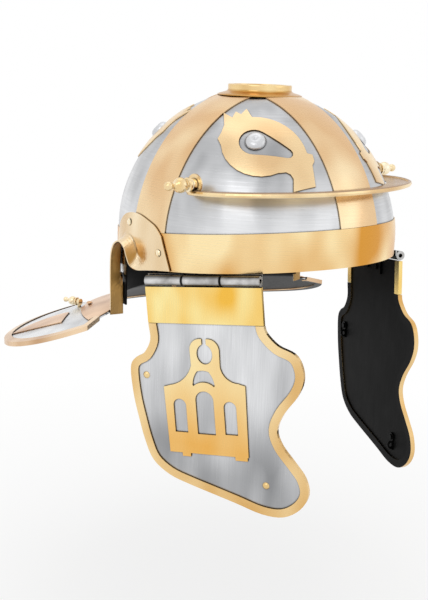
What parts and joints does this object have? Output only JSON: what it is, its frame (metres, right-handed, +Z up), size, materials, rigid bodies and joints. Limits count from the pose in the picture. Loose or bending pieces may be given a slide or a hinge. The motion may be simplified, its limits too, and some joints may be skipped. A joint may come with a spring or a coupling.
{
  "type": "helmet",
  "caption": "Ancient infantry helmet: oval steel bowl with brass cross bands, crest socket, brow guard, ear guards, wide neck guard and hinged cheek guards.",
  "frame": {"origin": "middle of the bowl's rim, where the crown's axis meets the rim plane", "axes": "+Z up through the crest socket, -Y towards the brow, -X towards the wearer's right"},
  "size_m": [0.3144, 0.3174, 0.2925],
  "materials": {
    "steel": "satin brushed",
    "brass": "polished",
    "dark_steel": "blackened"
  },
  "bodies": {
    "skull": {"skull_bowl": "steel", "rim_band": "brass", "cross_band_front": "brass", "cross_band_rear": "brass", "cross_band_right": "brass", "cross_band_left": "brass", "crest_collar": "brass", "crest_slot_plate": "brass", "bird_front_right": "brass", "bird_front_left": "brass", "bird_rear_right": "brass", "bird_rear_left": "brass", "eye_bosses": "steel", "brow_guard": "brass", "brow_finial_right": "brass", "brow_finial_left": "brass", "neck_guard": "steel", "neck_guard_binding": "brass", "nape_band": "brass", "neck_leaf_right": "brass", "neck_leaf_left": "brass", "neck_peg_right": "brass", "neck_peg_left": "brass", "nape_rivets": "brass", "ear_guard_right": "brass", "ear_guard_left": "brass", "ear_rivets": "brass", "hinge_skull_right": "dark_steel", "hinge_skull_left": "dark_steel", "hinge_pin_right": "dark_steel", "hinge_pin_left": "dark_steel", "hinge_rivets": "dark_steel"},
    "cheek_guard_right": {"cheek_hinge_right": "dark_steel", "cheek_plate_right": "steel", "cheek_binding_right": "brass", "cheek_strip_right": "brass", "temple_right": "brass", "cheek_rivets_right": "brass", "tie_loops_right": "dark_steel"},
    "cheek_guard_left": {"cheek_hinge_left": "dark_steel", "cheek_plate_left": "steel", "cheek_binding_left": "brass", "cheek_strip_left": "brass", "temple_left": "brass", "cheek_rivets_left": "brass", "tie_loops_left": "dark_steel"}
  },
  "joints": [
    {"name": "cheek_hinge_right_turn", "type": "hinge", "parent": "skull", "child": "cheek_guard_right", "pos_m": [-0.094, -0.04567, -0.00007], "axis": [-0.4041, 0.9077, -0.1132], "range_deg": [-18, 110]},
    {"name": "cheek_hinge_left_turn", "type": "hinge", "parent": "skull", "child": "cheek_guard_left", "pos_m": [0.094, -0.04567, -0.00007], "axis": [-0.4041, -0.9077, 0.1132], "range_deg": [-18, 110]}
  ]
}
